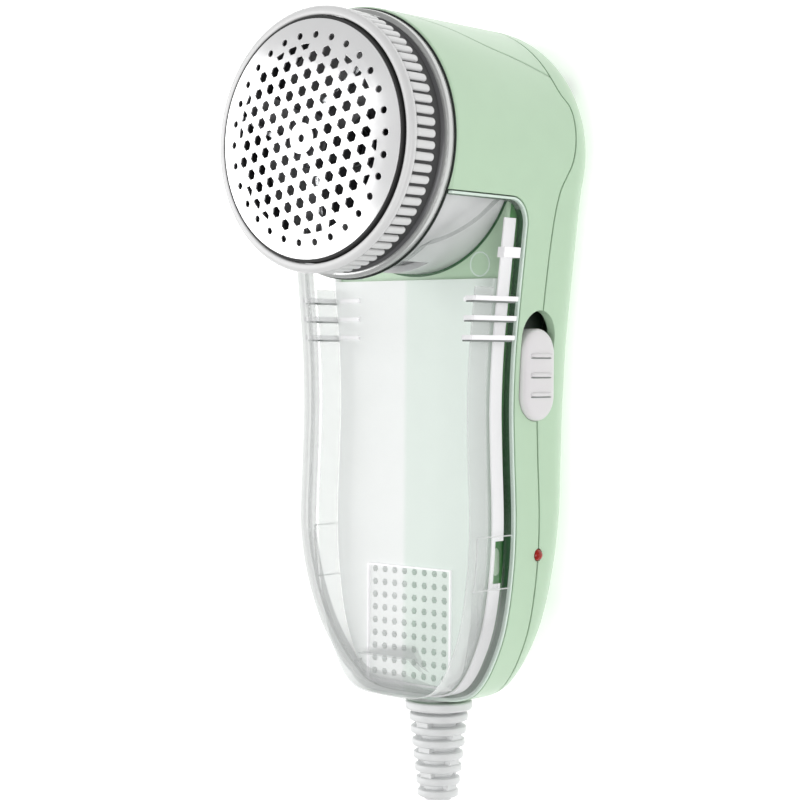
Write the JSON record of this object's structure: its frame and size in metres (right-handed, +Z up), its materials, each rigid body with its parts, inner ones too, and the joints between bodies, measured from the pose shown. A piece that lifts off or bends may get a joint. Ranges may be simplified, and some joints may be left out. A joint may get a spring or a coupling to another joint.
{
  "type": "fabric shaver",
  "caption": "Corded fabric shaver with a round perforated shaving screen over a spinning cutter, a side slide switch and a clear lint tank along the handle.",
  "frame": {"origin": "on the resting plane, under the middle of the shaver's length and width; the shaver lies on its back with its strain relief but without its free cord", "axes": "+Z up out of the cutting head, +Y from the cord end to the head along the handle, +X towards the side with the switch"},
  "size_m": [0.0985, 0.2811, 0.0732],
  "materials": {
    "shell_green": "moulded, satin gloss",
    "grey_plastic": "moulded",
    "white_plastic": "moulded, polished",
    "bright_steel": "zinc plated",
    "black_plastic": "moulded",
    "bronze": "sintered",
    "ferrite": "sintered, matte",
    "graphite": "pressed carbon",
    "board": "coated laminate",
    "red_film": "dipped",
    "blue_sleeve": "shrunk sleeve",
    "lamp_red": "clear red lens",
    "wire_red": "insulation",
    "cord_white": "smooth flexible vinyl",
    "core_steel": "laminated",
    "copper": "enamelled",
    "blade_steel": "ground edge",
    "screen_chrome": "polished, etched holes",
    "black_rubber": "matte",
    "clear_plastic": "clear, polished",
    "frosted_plastic": "frosted",
    "light_grey": "fine texture",
    "plug_white": "moulded",
    "plated_pins": "nickel plated"
  },
  "bodies": {
    "housing": {"rear_housing": "shell_green", "front_housing": "shell_green", "top_cover": "shell_green", "lint_duct": "grey_plastic", "head_flange": "white_plastic", "motor_can": "bright_steel", "motor_end_cap": "black_plastic", "motor_bushings": "bronze", "motor_magnets": "ferrite", "motor_brushes": "graphite", "motor_screws": "bright_steel", "circuit_board": "board", "film_capacitor": "red_film", "filter_capacitor": "blue_sleeve", "diodes": "black_plastic", "led_lamp": "lamp_red", "switch_body": "black_plastic", "lead_wires": "wire_red", "housing_screws": "bright_steel", "cord_clamp": "white_plastic", "clamp_screws": "bright_steel", "strain_relief": "cord_white", "mains_cord": "cord_white", "cord_coil": "cord_white", "plug_lead": "cord_white", "plug_body": "plug_white", "plug_pins": "plated_pins"},
    "rotor": {"motor_shaft": "bright_steel", "armature_core": "core_steel", "armature_windings": "copper", "commutator": "copper", "fan_impeller": "grey_plastic", "drive_dog": "white_plastic", "cutter_spring": "bright_steel"},
    "cutter": {"cutter_hub": "grey_plastic", "cutter_blades": "blade_steel"},
    "screen": {"shaving_screen": "screen_chrome", "screen_gasket": "black_rubber"},
    "ring": {"lock_ring": "white_plastic"},
    "tank": {"lint_tank": "clear_plastic", "tank_back": "frosted_plastic"},
    "switch": {"switch_knob": "light_grey"}
  },
  "joints": [
    {"name": "rotor_spin", "type": "hinge", "parent": "housing", "child": "rotor", "pos_m": [0, 0.0625, 0.05], "axis": [0, 0, 1], "continuous": true},
    {"name": "cutter_press", "type": "slide", "parent": "rotor", "child": "cutter", "axis": [0, 0, -1], "range_m": [0, 0.0012], "stiffness_N_per_m": 300, "springref_m": -0.003, "deforming": ["cutter_spring"]},
    {"name": "screen_lift", "type": "slide", "parent": "housing", "child": "screen", "axis": [0, 0, 1], "range_m": [0, 0.008]},
    {"name": "ring_turn", "type": "hinge", "parent": "screen", "child": "ring", "pos_m": [0, 0.0625, 0.064], "axis": [0, 0, 1], "range_deg": [0, 720]},
    {"name": "tank_slide", "type": "slide", "parent": "housing", "child": "tank", "axis": [0, -1, 0], "range_m": [0, 0.06]},
    {"name": "switch_slide", "type": "slide", "parent": "housing", "child": "switch", "axis": [0, 1, 0], "range_m": [0, 0.004]}
  ],
  "couplings": [
    {"joint": "screen_lift", "follows": "ring_turn", "m_per_rad": 0.0006366}
  ]
}
